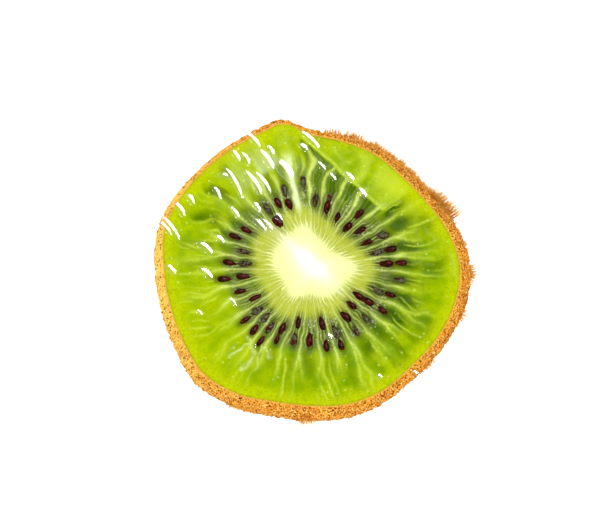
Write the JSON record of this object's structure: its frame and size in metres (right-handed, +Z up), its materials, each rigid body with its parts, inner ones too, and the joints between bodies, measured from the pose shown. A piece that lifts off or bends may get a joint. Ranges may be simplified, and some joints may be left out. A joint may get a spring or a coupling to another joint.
{
  "type": "kiwifruit half",
  "caption": "Half of a green kiwifruit, cut crosswise and standing cut face up, with pale core, black seeds and fuzzy brown skin.",
  "frame": {"origin": "middle of the flat stem scar that the half stands on, on the fruit's own axis", "axes": "+Z up along the fruit's axis, out of the cut face; +X to the right in the picture, +Y to its top"},
  "size_m": [0.0529, 0.0499, 0.0384],
  "materials": {
    "skin": "matt brown kiwifruit skin under short tan fuzz",
    "flesh": "wet translucent green fruit flesh",
    "seed": "glossy reddish black seed coat",
    "hair": "fine stiff tan hairs",
    "juice": "thin clear film and beads of juice on the cut"
  },
  "bodies": {
    "root": {"kiwifruit_half": "skin"}
  },
  "joints": []
}
